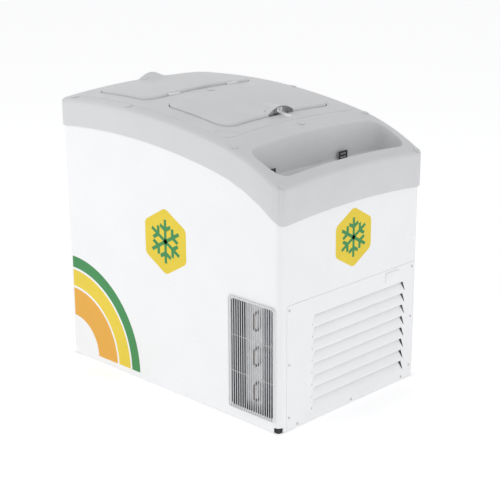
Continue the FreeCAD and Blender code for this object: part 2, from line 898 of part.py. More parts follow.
def make_wrapper():
    outer = plan(half_l, half_w, body_corner_r, skirt_gap)
    inner = plan(half_l - sheet_t, half_w - sheet_t, body_corner_r - sheet_t, 0)
    shell = outer.common(under(sheet_tuck - band_h)).cut(inner)
    cuts = [guard_opening()]
    cuts.append(end_form(panel_y0 - panel_gap, panel_y1 + panel_gap, -band_h,
                         panel_top_z + panel_gap, panel_r, half_l - 3 * sheet_t, half_l + 1))
    n, h = corner_notch_w, corner_notch_h
    for sx in (-1, 1):
        for sy in (-1, 1):
            x0, x1 = span(sx * (half_l - n), sx * (half_l + 1))
            y0, y1 = span(sy * (half_w - n), sy * (half_w + 1))
            cuts.append(box(x0, x1, y0, y1, 0, skirt_gap + h))
    for shape in cuts:
        shell = shell.cut(shape)
    return shell


def tank_form(grow=0.0, top=far / 2):
    """Outside of the stepped tank, or its hollow when grow is minus the sheet."""
    x0, w, r = tank_rear_x - grow, tank_half_w + grow, tank_r + grow
    step = tank_step_z - grow
    low = prism(x0, tank_step_x + grow, -w, w, r, tank_floor_z - grow, step)
    high = prism(x0, tank_front_x + grow, -w, w, r, step, top)
    return low.fuse(high).removeSplitter()


def ceiling_plan(grow=0.0):
    m = ceiling_margin + grow
    return prism(tank_rear_x - m, tank_front_x + m, -tank_half_w - m, tank_half_w + m,
                      tank_r + m, 0, far)


def make_tank():
    t = sheet_t
    liner = tank_form().cut(tank_form(-t, far))
    liner = liner.common(under(-band_h - ceiling_drop - t - lay_gap))
    drain = disc(drain_x, 0, tank_floor_z - 2 * t, tank_floor_z + 2 * t,
                 hole_r(drain_r + drain_fit))
    liner = liner.cut(drain)
    ceiling = ceiling_plan().common(layer(-band_h - ceiling_drop, -band_h - ceiling_drop - t))
    for lid in LIDS.values():
        ceiling = ceiling.cut(hatch_plan(lid, throat_wall + fit_gap / 2))
    return liner, ceiling


def round_tank(front, out, z0, z1):
    """Block round the tank at a distance out from its walls."""
    cut = (tank_r + out) * coil_corner
    return bevel_block(tank_rear_x - out, front + out, -tank_half_w - out,
                       tank_half_w + out, cut, z0, z1)


def make_coil():
    """Flattened evaporator tube: turns round the tank and the risers between them."""
    turns = []
    for z in coil_zs:
        front = tank_front_x if z > tank_step_z else tank_step_x
        z0, z1 = z - coil_h / 2, z + coil_h / 2
        turns.append(round_tank(front, fit_gap + coil_w, z0, z1).cut(
            round_tank(front, fit_gap, z0, z1)))
    for i, z in enumerate(coil_zs[:-1]):
        x = tank_rear_x + 2 * tank_r + coil_riser_pitch * i
        turns.append(box(x, x + coil_h, -tank_half_w - fit_gap - coil_w,
                         -tank_half_w - fit_gap, z, coil_zs[i + 1]))
    return fuse(turns)


def make_drain():
    """Outlet pipe through the floor, and the bung that closes it from inside the tank."""
    top = tank_floor_z + sheet_t
    bore = drain_r - drain_wall
    outlet = tube(V(drain_x, 0, base_z - drain_tail), V(drain_x, 0, top), drain_r, bore)
    stem = bore - fit_gap
    bung = disc(drain_x, 0, top - bung_h, top + bung_lip, stem).fuse(
        disc(drain_x, 0, top + fit_gap, top + bung_lip, drain_r + bung_lip))
    grip = bevel_block(-bung_lip, bung_lip, -drain_r, drain_r, bung_bevel, top + bung_lip,
                       top + bung_h)
    grip.translate(V(drain_x, 0, 0))
    return outlet, bung.fuse(grip)


def bay_form(grow=0.0):
    return box(bay_x - grow, far, -far, far, -far, bay_top_z + sheet_t + grow)


def make_bulkhead():
    t = sheet_t
    w = half_w - 2 * (t + fit_gap)
    x1 = half_l - t - fit_gap
    z0 = base_z + t + fit_gap
    outer = box(bay_x, x1, -w, w, z0, bay_top_z + t)
    inner = box(bay_x + t, x1 + 1, -w - 1, w + 1, z0 - 1, bay_top_z)
    bend = [e for e in outer.Edges if abs(e.BoundBox.XMax - bay_x) < 0.01 and
            abs(e.BoundBox.ZMin - bay_top_z - t) < 0.01]
    outer = outer.makeFillet(bay_bend_r, bend)
    corner_r = body_corner_r - t - fit_gap
    outer = outer.common(plan(x1, half_w - t - fit_gap, corner_r))
    bend = [e for e in inner.Edges if abs(e.BoundBox.XMax - bay_x - t) < 0.01 and
            abs(e.BoundBox.ZMin - bay_top_z) < 0.01]
    inner = inner.makeFillet(bay_bend_r - t, bend)
    return outer.cut(inner)


def make_foam():
    """Foam between the tank and the outer sheet, up to the level of the tank's ceiling."""
    g = fit_gap
    block = plan(half_l - sheet_t - g, half_w - sheet_t - g, body_corner_r - sheet_t - g,
                 base_z + base_rim_h + g)
    top = under(-band_h - ceiling_drop - sheet_t - g)
    block = block.common(top)
    out = coil_w + 2 * g
    under_tray = tray_floor_z - tray_wall - g
    for shape in (bay_form(g), tank_form(g),
                  round_tank(tank_step_x, out, coil_zs[0] - coil_h, tank_step_z),
                  round_tank(tank_front_x, out, tank_step_z, far),
                  box(tray_back_x - 2 * tray_wall, far, -far, far, under_tray, far),
                  disc(drain_x, 0, 0, far / 4, hole_r(drain_r + g))):
        block = block.cut(shape)
    return block


def foot_corners(grow):
    """Square columns round the four corner feet."""
    c = foot_inset + foot_block + grow
    columns = []
    for sx in (-1, 1):
        for sy in (-1, 1):
            x0, x1 = span(sx * (half_l - c), sx * far)
            y0, y1 = span(sy * (half_w - c), sy * far)
            columns.append((x0, x1, y0, y1))
    return columns


def make_base():
    t = sheet_t
    x, y = half_l - sheet_t - fit_gap, half_w - sheet_t - fit_gap
    pan = box(-x, x, -y, y, base_z, base_z + base_rim_h).cut(
        box(-x + t, x + far, -y + t, y - t, base_z + t, far))
    for x0, x1, y0, y1 in foot_corners(fit_gap):
        pan = pan.cut(box(x0, x1, y0, y1, 0, far / 4))
    return pan.cut(disc(drain_x, 0, base_z - t, base_z + 2 * t, hole_r(drain_r + fit_gap)))


def make_feet():
    feet = []
    for x0, x1, y0, y1 in foot_corners(0.0):
        sx, sy = (1 if x1 > 0 else -1), (1 if y1 > 0 else -1)
        x, y = half_l - foot_inset, half_w - foot_inset
        a0, a1 = span(sx * x, sx * (x - foot_block))
        b0, b1 = span(sy * y, sy * (y - foot_block))
        block = bevel_block(a0, a1, b0, b1, foot_bevel, 0, foot_h)
        a0, a1 = span(sx * x, sx * (x - foot_pad))
        b0, b1 = span(sy * y, sy * (y - foot_pad))
        feet.append(block.fuse(bevel_block(a0, a1, b0, b1, foot_bevel, 0,
                                            base_z - lay_gap)))
    return Part.makeCompound(feet)


# ---------------------------------------------------------------------------------------------
# Wire guard and louvred end panel
# ---------------------------------------------------------------------------------------------

def make_guard():
    """Welded guard: a wire frame, upright wires behind it and two cross wires behind those."""
    r = guard_frame_r
    y_wire = -half_w - guard_wire_r - lay_gap
    y_frame = y_wire - guard_wire_r - r - lay_gap
    y_cross = y_wire + guard_wire_r + guard_cross_r + lay_gap
    x0, x1 = guard_x0 + r, guard_x1 - r
    z0, z1 = guard_z0 + r, guard_z1 - r
    outline = bevel_outline(x0, x1, z0, z1, guard_corner_cut)
    ring = ring_points(V(outline[0][0], y_frame, z0), V(1, 0, 0), r, pipe_sides)
    pieces = [swept_pipe([V(x, y_frame, z) for x, z in outline + [outline[0]]], ring)]
    count = int((x1 - x0) / guard_pitch)
    first = (x0 + x1) / 2 - guard_pitch * (count - 1) / 2
    last = first + guard_pitch * (count - 1)
    for x in steps(first, last, count - 1):
        pieces.append(rod(V(x, y_wire, z0 - r), V(x, y_wire, z1 + r), guard_wire_r,
                          wire_sides))
    edge = guard_lap + fit_gap
    for z in guard_cross_zs:
        pieces.append(rod(V(guard_x0 + edge, y_cross, z), V(guard_x1 - edge, y_cross, z),
                          guard_cross_r, wire_sides))
    return Part.makeCompound(pieces)


def louvre(z):
    """Cut-out and bent tab of one louvre whose top edge lies at height z."""
    low = z - louvre_tab
    rate = louvre_splay / louvre_tab

    def outline(top, bottom, inset):
        corners = []
        for h, s in ((bottom, -1), (bottom, 1), (top, 1), (top, -1)):
            edge = louvre_y0 if s < 0 else louvre_y1
            corners.append(V(half_l - louvre_tab, edge + s * (rate * (z - h) - inset), h))
        return polygon(corners).extrude(V(2 * louvre_tab, 0, 0))

    x0, x1 = half_l - panel_t, half_l
    y0, y1 = louvre_y0 - 2 * louvre_splay, louvre_y1 + 2 * louvre_splay
    section = polygon([V(x0, y0, low - panel_t), V(x1, y0, low - panel_t), V(x1, y0, low),
                       V(x1 - louvre_in, y0, z), V(x0 - louvre_in, y0, z), V(x0, y0, low)])
    tab = section.extrude(V(0, y1 - y0, 0))
    tab = tab.common(outline(z + louvre_slot, low - panel_t, louvre_side_slit))
    return outline(z + louvre_slot, low, 0.0), tab


def panel_screw_places():
    y0, y1 = panel_y0 + panel_side_screw_in, panel_y1 - panel_side_screw_in
    spots = [(y0, z) for z in panel_side_screw_zs] + [(y1, z) for z in panel_side_screw_zs]
    return spots + [(y, panel_foot_screw_z) for y in panel_foot_screw_ys]


def screw_holes(x0, x1):
    across = 2 * (screw_r + screw_hole_gap)
    return fuse([hex_bar(x0, x1, y, z, across) for y, z in panel_screw_places()])


def make_panel():
    sheet = end_form(panel_y0, panel_y1, skirt_gap, panel_top_z, panel_r, half_l - panel_t, half_l)
    sheet = sheet.fuse(box(half_l - panel_t, half_l, panel_y0, panel_y1, skirt_gap,
                           skirt_gap + 2 * panel_r))
    tabs = []
    holes = [screw_holes(half_l - screw_len, half_l + screw_len)]
    for i in range(louvre_count):
        hole, tab = louvre(louvre_first_z + louvre_pitch * i)
        holes.append(hole)
        tabs.append(tab)
    holes.append(bevelled_end_block(cover_y0 + cover_lap, cover_y1 - cover_lap,
                                    cover_z0 + cover_lap, cover_z1 - cover_lap,
                                    cover_skirt_bevel, half_l - cover_snap,
                                    half_l + cover_snap))
    return sheet.cut(Part.makeCompound(holes)).multiFuse(tabs)


def make_end_frame():
    x1 = half_l - sheet_t - fit_gap
    x0 = x1 - sheet_t
    z0 = base_z + sheet_t + fit_gap
    limit = half_w - body_corner_r
    ya, yb = max(panel_y0 - frame_lap, -limit), min(panel_y1 + frame_lap, limit)
    frame = box(x0, x1, ya, yb, z0, bay_top_z - fit_gap)
    window = end_form(panel_y0 + frame_lap, panel_y1 - frame_lap, panel_foot_screw_z + frame_foot,
                      panel_top_z - frame_head, frame_window_r, x0 - 1, x1 + 1)
    return frame.cut(window).cut(screw_holes(x0 - 2, x1 + 2))


def make_screws():
    """Six-sided sheet-metal screws round the end panel."""
    screws = []
    for y, z in panel_screw_places():
        head = hex_bar(half_l + weld_gap, half_l + screw_head_h, y, z, 2 * screw_head_r)
        shank = hex_bar(half_l - screw_len, half_l + 2 * weld_gap, y, z, 2 * screw_r)
        screws.append(head.fuse(shank))
    return Part.makeCompound(screws)


def bevelled_end_block(y0, y1, z0, z1, cut, x0, x1):
    points = [V(x0, y, z) for y, z in bevel_outline(y0, y1, z0, z1, cut)]
    return polygon(points).extrude(V(x1 - x0, 0, 0))


def make_cover():
    """Snap-in cover over the thermostat: a shallow raised cap with a hollow skirt."""
    x0, x1 = half_l + weld_gap, half_l + cover_proud
    m = cover_proud / 2
    low = bevel_outline(cover_y0, cover_y1, cover_z0, cover_z1, cover_bevel)
    high = bevel_outline(cover_y0 + m, cover_y1 - m, cover_z0 + m, cover_z1 - m, cover_bevel)
    cap = skin([[V(x0, y, z) for y, z in low], [V(x1, y, z) for y, z in high]])
    g = cover_lap + fit_gap
    skirt = bevelled_end_block(cover_y0 + g, cover_y1 - g, cover_z0 + g, cover_z1 - g,
                               cover_skirt_bevel, half_l - cover_snap, x0 + cover_wall)
    w = g + cover_wall
    hollow = bevelled_end_block(cover_y0 + w, cover_y1 - w, cover_z0 + w, cover_z1 - w,
                                cover_skirt_bevel, half_l - 2 * cover_snap, x1 - cover_wall)
    return cap.fuse(skirt).cut(hollow)


def make_thermostat():
    y, z = (cover_y0 + cover_y1) / 2, (cover_z0 + cover_z1) / 2
    tip = half_l - cover_snap - stat_gap
    x1 = tip - knob_len
    x0 = x1 - stat_depth
    case = bevelled_end_block(y - stat_half_w, y + stat_half_w, z - stat_half_h,
                              z + stat_half_h, stat_bevel, x0, x1)
    hanger = box(x0 + hanger_inset, x1 - hanger_inset, y - hanger_half_w, y + hanger_half_w,
                 z + stat_half_h, bay_top_z - weld_gap)
    return case.fuse(hanger), rod(V(x1 + weld_gap, y, z), V(tip, y, z), knob_r)


# ---------------------------------------------------------------------------------------------
# Refrigeration machinery
# ---------------------------------------------------------------------------------------------

def make_condenser():
    """Fin pack with its two end plates, and the tube returns that show at the ends."""
    p = cond_plate_t
    pack = box(cond_x0, cond_x1, cond_y0 + p, cond_y1 - p, cond_z0 + fin_inset, cond_z1 - fin_inset)
    n = int((cond_y1 - cond_y0 - 2 * p - fin_t) / fin_pitch)
    slack = (cond_y1 - cond_y0 - 2 * p - n * fin_pitch) / 2
    slots = []
    for i in range(n):
        y = cond_y0 + p + slack + fin_pitch * i + fin_t / 2
        for x0, x1 in ((cond_x0 - fin_depth, cond_x0 + fin_depth),
                       (cond_x1 - fin_depth, cond_x1 + fin_depth)):
            slots.append(box(x0, x1, y, y + fin_pitch - fin_t, cond_z0, cond_z1))
    pack = pack.cut(Part.makeCompound(slots))
    foot = base_z + sheet_t + fit_gap
    lip = cond_plate_lip
    plates = [box(cond_x0 - lip, cond_x1 + lip, y, y + p, foot, cond_z1)
              for y in (cond_y0, cond_y1 - p)]
    fins = fuse([pack] + plates)

    pitch = (cond_z1 - cond_z0) / cond_rows
    x = (cond_x0 + cond_x1) / 2
    bends = []
    for i in range(cond_rows - 1):
        z = cond_z0 + pitch * (i + 0.5)
        y, s = (cond_y0 - weld_gap, -1) if i % 2 == 0 else (cond_y1 + weld_gap, 1)
        out = y + s * cond_bend
        bends.append(pipe([(x, y, z), (x, out, z), (x, out, z + pitch), (x, y, z + pitch)],
                          cond_tube_r, cond_bend_cut))
    return fins, Part.makeCompound(bends)


def fan_centre():
    return (cond_y0 + cond_y1) / 2, (cond_z0 + cond_z1) / 2


def shroud_span():
    x1 = cond_x0 - cond_plate_lip - weld_gap
    return x1 - shroud_depth, x1


def make_shroud():
    yc, zc = fan_centre()
    x0, x1 = shroud_span()
    t = shroud_t
    outer = box(x0, x1, cond_y0, cond_y1, cond_z0, cond_z1)
    inner = box(x0 + t, x1 + 1, cond_y0 + t, cond_y1 - t, cond_z0 + t, cond_z1 - t)
    hole = rod(V(x0 - 1, yc, zc), V(x1, yc, zc), fan_r + fan_tip_gap)
    return outer.cut(inner).cut(hole)


def motor_x():
    return bay_x + sheet_t + motor_gap


def make_motor():
    """Fan motor and the three-armed bracket that carries it in front of the shroud."""
    yc, zc = fan_centre()
    x0 = motor_x()
    x1 = x0 + motor_len
    motor = fuse([rod(V(x0, yc, zc), V(x1, yc, zc), motor_r),
                  rod(V(x1, yc, zc), V(x1 + motor_shaft_len, yc, zc), motor_shaft_r)])
    t, w, c = bracket_t, bracket_half_w, bracket_plate
    face = x1 + weld_gap
    wall = shroud_span()[0] - weld_gap
    reach = fan_r + fan_tip_gap + bracket_clear
    shaft = rod(V(face - t, 0, 0), V(face + 2 * t, 0, 0), motor_shaft_r + shaft_room)
    arms = [bevelled_end_block(-c, c, -c, c, bracket_plate_bevel, face, face + t).cut(shaft)]
    for k in range(3):
        limb = fuse([box(face, face + t, -w, w, bracket_plate_in, reach),
                     box(face, wall, -w, w, reach - t, reach),
                     box(wall - t, wall, -w, w, reach - t, reach + bracket_foot)])
        limb.rotate(V(0, 0, 0), V(1, 0, 0), 60 + 120 * k)
        arms.append(limb)
    bracket = fuse(arms)
    bracket.translate(V(0, yc, zc))
    return motor, bracket


def blade_section(chord, pitch_deg, height):
    """Cambered section of a blade, square to its radius, at a height along it."""
    half, t, rise = chord / 2, fan_blade_t, chord * fan_camber
    outline = [(0, -half), (rise, 0), (0, half), (t, half), (rise + t, 0), (t, -half)]
    c, s = math.cos(math.radians(pitch_deg)), math.sin(math.radians(pitch_deg))
    return [V(x * c - y * s, x * s + y * c, height) for x, y in outline]


def make_fan():
    yc, zc = fan_centre()
    x0 = motor_x() + motor_len + hub_gap
    hub = rod(V(x0, 0, 0), V(x0 + fan_depth, 0, 0), fan_hub_r)
    blades = []
    for k in range(fan_blades):
        levels = []
        for t in (0.0, 0.5, 1.0):
            chord = fan_chord * (fan_root_share + (1 - fan_root_share) * t)
            twist = -fan_pitch_deg - fan_twist_deg * (1 - t)
            levels.append(blade_section(chord, twist, fan_root_r + (fan_r - fan_root_r) * t))
        blade = skin(levels)
        blade.translate(V(x0 + fan_depth / 2, 0, 0))
        blade.rotate(V(0, 0, 0), V(1, 0, 0), 360.0 / fan_blades * k)
        blades.append(blade)
    fan = fuse([hub] + blades)
    fan = fan.cut(rod(V(x0 - hub_gap, 0, 0), V(x0 + fan_depth - hub_cap_t, 0, 0),
                      hole_r(motor_shaft_r + run_fit)))
    fan.translate(V(0, yc, zc))
    return fan


def make_compressor():
    """Hermetic pot: two drawn domes joined at a rim, on a pressed foot plate."""
    r, h, z = comp_r, comp_h, comp_base_z
    seam = z + h * comp_rim_share
    pot = turned([(r * a, z + h * b) for a, b in comp_form], comp_x, comp_y)
    pot = pot.fuse(disc(comp_x, comp_y, seam - comp_rim_half, seam + comp_rim_half,
                        r + comp_rim_out))
    m = mount_r + comp_foot_edge
    plate = bevel_block(-comp_foot_x - m, comp_foot_x + m, -comp_foot_y - m, comp_foot_y + m,
                        m, z, z + comp_plate_t)
    plate.translate(V(comp_x, comp_y, 0))

    relay_z = z + relay_rise
    relay = bevel_block(comp_x - relay_half_w, comp_x + relay_half_w, comp_y,
                        comp_y + r + relay_out, relay_bevel, relay_z, relay_z + relay_h)
    relay = relay.cut(disc(comp_x, comp_y, z, z + h, r + comp_rim_out + 2 * fit_gap))

    foot = base_z + sheet_t + lay_gap
    mounts = [disc(comp_x + x, comp_y + y, foot, z - lay_gap, mount_r)
              for x in (-comp_foot_x, comp_foot_x) for y in (-comp_foot_y, comp_foot_y)]
    return pot.fuse(plate), relay, Part.makeCompound(mounts)


def make_pipes():
    """Discharge line from the pot to the condenser, and suction line from the tank."""
    x = (cond_x0 + cond_x1) / 2
    pitch = (cond_z1 - cond_z0) / cond_rows
    top_row = cond_z0 + pitch * (cond_rows - 0.5)
    out = cond_y1 + pipe_run
    top = comp_base_z + comp_h + 2 * weld_gap
    near = pipe_port
    discharge = pipe([(x, cond_y1 + 2 * weld_gap, top_row), (x, out, top_row),
                      (comp_x - near, out, top_row - pipe_run),
                      (comp_x - near, comp_y - near, top_row - pipe_run),
                      (comp_x - near, comp_y - near, top)], pipe_r, pipe_bend)
    high = top + 2 * pipe_run
    suction = pipe([(comp_x + near, comp_y + near, top), (comp_x + near, comp_y + near, high),
                    (comp_x + near, comp_y + comp_r, high),
                    (bay_x + sheet_t + 2 * weld_gap, comp_y + comp_r, high)], pipe_r, pipe_bend)
    return discharge, suction


# ---------------------------------------------------------------------------------------------
# Build
# ---------------------------------------------------------------------------------------------

def build():
    main, nose, places = make_moulding()
    save("top_moulding", main)
    save("nose_moulding", nose)
    save("screw_caps", make_caps(places))
    save("tray_clips", make_tray_clips())
    for name, lid in LIDS.items():
        cover, pan, fill, gasket = make_lid(lid)
        save(name + "_lid_cover", cover)
        save(name + "_lid_pan", pan)
        save(name + "_lid_foam", fill)
        save(name + "_lid_gasket", gasket)
        fixed, moving, pins = make_hinges(lid)
        save(name + "_hinge_fixed_leaves", fixed)
        save(name + "_hinge_lid_leaves", moving)
        save(name + "_hinge_pins", pins)
        angle, plate = make_lock(lid)
        save(name + "_lock_angle", angle)
        save(name + "_lock_plate", plate)
    save("outer_cabinet", make_wrapper())
    liner, ceiling = make_tank()
    save("tank_liner", liner)
    save("tank_ceiling", ceiling)
    save("evaporator_coil", make_coil())
    outlet, bung = make_drain()
    save("drain_outlet", outlet)
    save("drain_bung", bung)
    save("bay_bulkhead", make_bulkhead())
    save("insulation", make_foam())
    save("base_pan", make_base())
    save("corner_feet", make_feet())
    save("wire_guard", make_guard())
    save("end_panel", make_panel())
    save("end_frame", make_end_frame())
    save("panel_screws", make_screws())
    save("thermostat_cover", make_cover())
    stat, knob = make_thermostat()
    save("thermostat", stat)
    save("thermostat_knob", knob)
    fins, bends = make_condenser()
    save("condenser_fins", fins)
    save("condenser_tubes", bends)
    save("fan_shroud", make_shroud())
    motor, bracket = make_motor()
    save("fan_motor", motor)
    save("fan_bracket", bracket)
    save("fan_blade", make_fan())
    comp, relay, mounts = make_compressor()
    save("compressor", comp)
    save("compressor_relay", relay)
    save("compressor_mounts", mounts)
    discharge, suction = make_pipes()
    save("discharge_pipe", discharge)
    save("suction_pipe", suction)


build()
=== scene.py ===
import json
import math

import bmesh
import bpy
import numpy as np
from mathutils import Matrix, Vector

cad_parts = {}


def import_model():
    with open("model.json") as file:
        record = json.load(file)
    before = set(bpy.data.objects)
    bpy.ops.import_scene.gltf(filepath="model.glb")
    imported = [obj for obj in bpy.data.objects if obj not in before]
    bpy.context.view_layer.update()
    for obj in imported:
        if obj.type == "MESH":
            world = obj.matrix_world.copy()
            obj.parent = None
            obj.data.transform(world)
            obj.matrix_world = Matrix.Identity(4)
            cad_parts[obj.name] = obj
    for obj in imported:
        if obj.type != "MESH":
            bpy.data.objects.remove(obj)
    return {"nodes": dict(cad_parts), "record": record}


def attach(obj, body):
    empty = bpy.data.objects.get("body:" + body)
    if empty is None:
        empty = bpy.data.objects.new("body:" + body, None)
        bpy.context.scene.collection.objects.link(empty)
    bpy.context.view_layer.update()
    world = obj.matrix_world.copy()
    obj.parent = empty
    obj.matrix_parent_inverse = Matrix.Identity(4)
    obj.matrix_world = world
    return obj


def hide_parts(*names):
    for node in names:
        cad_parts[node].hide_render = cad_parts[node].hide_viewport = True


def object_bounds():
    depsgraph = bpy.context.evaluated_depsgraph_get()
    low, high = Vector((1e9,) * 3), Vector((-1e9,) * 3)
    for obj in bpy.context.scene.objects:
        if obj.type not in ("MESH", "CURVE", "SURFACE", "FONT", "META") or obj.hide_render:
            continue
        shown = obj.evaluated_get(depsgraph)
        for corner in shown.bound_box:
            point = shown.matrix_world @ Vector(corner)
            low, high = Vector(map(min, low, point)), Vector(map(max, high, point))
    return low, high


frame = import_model()
cad_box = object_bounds()
nodes = frame["nodes"]
MM = 0.001

# ---------------------------------------------------------------------------------------------
# Sizes in millimetres, as in the solid model
# ---------------------------------------------------------------------------------------------

# Cabinet and moulding: half lengths and half widths
HALF_L, HALF_W = 488.0, 325.0
TOP_L, TOP_W = 496.0, 333.0

# Arch of the top, which tightens into a nose, and the crown across it
CREST_X, CREST_Z = -240.0, 815.5
ARCH_R, NOSE_X, NOSE_R, CROWN_R = 2440.0, 230.0, 610.0, 3200.0
BAND, EDGE_R = 88.0, 22.0
EDGE_STEPS, EDGE_FINE = 3, 40      # straight steps round the edge in the solid, and here
STEPPED, SMOOTH = (6, 5), (200, 120)        # steps of the arch and of the nose
CROWN_STEPS, CROWN_FINE = 4, 160
CORNER_STEPS = 3
JOINT_X, JOINT_GAP = 310.0, 0.02   # between the two pieces of the moulding

# Outlines as rear end, front end, half width and corner radius
PLATFORM = (-440.0, 243.0, 295.0, 30.0)
PLATFORM_RISE = 1.5
TRAY = (332.0, 458.0, 286.0, 36.0)
TRAY_FLOOR_Z, TRAY_LEAN = 740.0, 4.0        # lean of the walls in degrees
RIM_ROUND, SEAT_ROUND, FIELD_ROUND = 9.0, 2.0, 1.1
HIDDEN_FROM, HIDDEN_TO = 20.0, 60.0         # depth over which the edge's shape fades out

# Lids: side of the bridge, hinge line and outer edge
LIDS = {"rear": (-1, -158.0, -415.0), "front": (1, -88.0, 190.0)}
LID_W, LID_R, LID_PROUD, LID_BEVEL, LID_ROUND = 238.0, 45.0, 9.0, 4.0, 6.0
LID_GAP = 3.0
HINGE_EASE, HINGE_EASE_RUN = 1.6, 14.0      # extra rounding where the lid turns past the bridge
HOOD_W, HOOD_H, HOOD_RUN, HOOD_STEPS = 62.0, 20.0, 88.0, 6
HOOD_TAPER, HOOD_SINK = 2 / 3, 1.0
HOOD_FLARE, HOOD_BELL, HOOD_BLEND = 1.12, 0.45, 4.0

# Shallow recess beside the front lid: middle of either end, half width, depth and its slope
RECESS_A, RECESS_B = (190.0, -277.0), (228.0, -231.0)
RECESS_R, RECESS_DEPTH, RECESS_SLOPE = 7.5, 2.4, 2.5

# Screw caps
CAP_R, CAP_H, CAP_GAP, CAP_SIDES = 12.5, 1.6, 0.3, 48
CAPS = [(-438, -308), (-173, -308), (291, -308), (-45, 308), (272, 308),
        (484, -308), (484, 308), (-460, 0), (-123, 0), (275, 0)]


def steps(a, b, n):
    return [a + (b - a) * i / n for i in range(n + 1)]


def arch_line(offset, big_n, small_n):
    """Points along the arch and the nose, raised by offset, as (x, z)."""
    nose_sin = (NOSE_X - CREST_X) / ARCH_R
    nose_cos = math.sqrt(1 - nose_sin ** 2)
    cz = CREST_Z - ARCH_R
    nx = CREST_X + nose_sin * (ARCH_R - NOSE_R)
    nz = cz + nose_cos * (ARCH_R - NOSE_R)
    reach = TOP_L + BAND
    big, small = ARCH_R + BAND + offset, NOSE_R + BAND + offset
    joint = math.asin(nose_sin)
    rear = -math.asin((reach + CREST_X) / (ARCH_R + BAND))
    front = math.asin((reach - nx) / (NOSE_R + BAND))
    line = [(CREST_X + big * math.sin(a), cz + big * math.cos(a))
            for a in steps(rear, joint, big_n)]
    return line + [(nx + small * math.sin(a), nz + small * math.cos(a))
                   for a in steps(joint, front, small_n)[1:]]


def crown_line(n):
    """Rise of the crown across the width, as (y, z)."""
    fall = math.sqrt(CROWN_R ** 2 - TOP_W ** 2)
    return [(y, math.sqrt(CROWN_R ** 2 - y * y) - fall) for y in steps(-TOP_W, TOP_W, n)]


def at(line, x):
    """Height of a line of points at x, run on in a straight line past its ends."""
    px, pz = np.array(line).T
    x = np.asarray(x, float)
    z = np.interp(x, px, pz)
    z = np.where(x < px[0], pz[0] + (x - px[0]) * (pz[1] - pz[0]) / (px[1] - px[0]), z)
    return np.where(x > px[-1], pz[-1] + (x - px[-1]) * (pz[-1] - pz[-2]) / (px[-1] - px[-2]), z)


def rounded_off(line, end, r, n):
    """The line with both its ends turned down to the vertical at radius r."""
    corners = []
    for s in (-1, 1):
        x = s * (end - r)
        fall = float(at(line, x + s) - at(line, x))
        top = math.pi / 2 + math.atan(fall)
        z = float(at(line, x)) - r / math.sin(top)
        corners.append([(x + s * r * math.cos(a), z + r * math.sin(a))
                        for a in steps(top, 0.0, n)])
    rear, front = corners
    inside = [p for p in line if rear[0][0] < p[0] < front[0][0]]
    return rear[::-1] + inside + front


CROWN = {"stepped": crown_line(CROWN_STEPS), "smooth": crown_line(CROWN_FINE)}


def top(kind, x, y, offset=0.0):
    """Height of the arched and crowned surface, in straight steps or smooth."""
    n = STEPPED if kind == "stepped" else SMOOTH
    return at(arch_line(offset, *n), x) + at(CROWN[kind], y)


def rect_gap(x, y, x0, x1, half, r):
    """Signed distance from a rounded rectangle, negative inside it."""
    qx = np.abs(x - (x0 + x1) / 2) - (x1 - x0) / 2 + r
    qy = np.abs(y) - half + r
    out = np.hypot(np.maximum(qx, 0), np.maximum(qy, 0))
    return out + np.minimum(np.maximum(qx, qy), 0) - r


# ---------------------------------------------------------------------------------------------
# Materials
# ---------------------------------------------------------------------------------------------

ROUGH_BY = 0.06            # how far the gloss varies either way
LEAST_ROUGH = 0.02
COAT_ROUGH = 0.12
BUMP_DEPTH = 0.0002
TONE_RANGE = (0.3, 0.7)    # of the noise, over which one tone turns into the other


def material(name, colour, rough, metallic=0.0, grain=900.0, bump=0.0, shade=0.03,
             coat=0.0, blotch=6.0, streak=None):
    """Moulded, painted or drawn surface: faint blotches of tone, uneven gloss and a fine grain."""
    m = bpy.data.materials.new(name)
    m.use_nodes = True
    t = m.node_tree
    b = t.nodes["Principled BSDF"]
    b.inputs["Metallic"].default_value = metallic
    b.inputs["Coat Weight"].default_value = coat
    b.inputs["Coat Roughness"].default_value = COAT_ROUGH
    place = t.nodes.new("ShaderNodeTexCoord")
    source = place.outputs["Object"]
    if streak:
        stretch = t.nodes.new("ShaderNodeMapping")
        stretch.inputs["Scale"].default_value = streak
        t.links.new(source, stretch.inputs["Vector"])
        source = stretch.outputs["Vector"]

    def noise(scale, detail):
        n = t.nodes.new("ShaderNodeTexNoise")
        n.inputs["Scale"].default_value = scale
        n.inputs["Detail"].default_value = detail
        t.links.new(source, n.inputs["Vector"])
        return n.outputs["Fac"]

    tone = t.nodes.new("ShaderNodeMapRange")
    tone.inputs["From Min"].default_value = TONE_RANGE[0]
    tone.inputs["From Max"].default_value = TONE_RANGE[1]
    t.links.new(noise(blotch, 4.0), tone.inputs["Value"])
    mix = t.nodes.new("ShaderNodeMix")
    mix.data_type = "RGBA"
    mix.inputs["A"].default_value = [c * (1 - shade) for c in colour] + [1]
    mix.inputs["B"].default_value = [min(1, c * (1 + shade)) for c in colour] + [1]
    t.links.new(tone.outputs["Result"], mix.inputs["Factor"])
    t.links.new(mix.outputs["Result"], b.inputs["Base Color"])
    gloss = t.nodes.new("ShaderNodeMapRange")
    gloss.inputs["To Min"].default_value = max(LEAST_ROUGH, rough - ROUGH_BY)
    gloss.inputs["To Max"].default_value = rough + ROUGH_BY
    t.links.new(noise(blotch * 9, 6.0), gloss.inputs["Value"])
    t.links.new(gloss.outputs["Result"], b.inputs["Roughness"])
    if bump:
        n = t.nodes.new("ShaderNodeBump")
        n.inputs["Strength"].default_value = bump
        n.inputs["Distance"].default_value = BUMP_DEPTH
        t.links.new(noise(grain, 2.0), n.inputs["Height"])
        t.links.new(n.outputs["Normal"], b.inputs["Normal"])
    return m


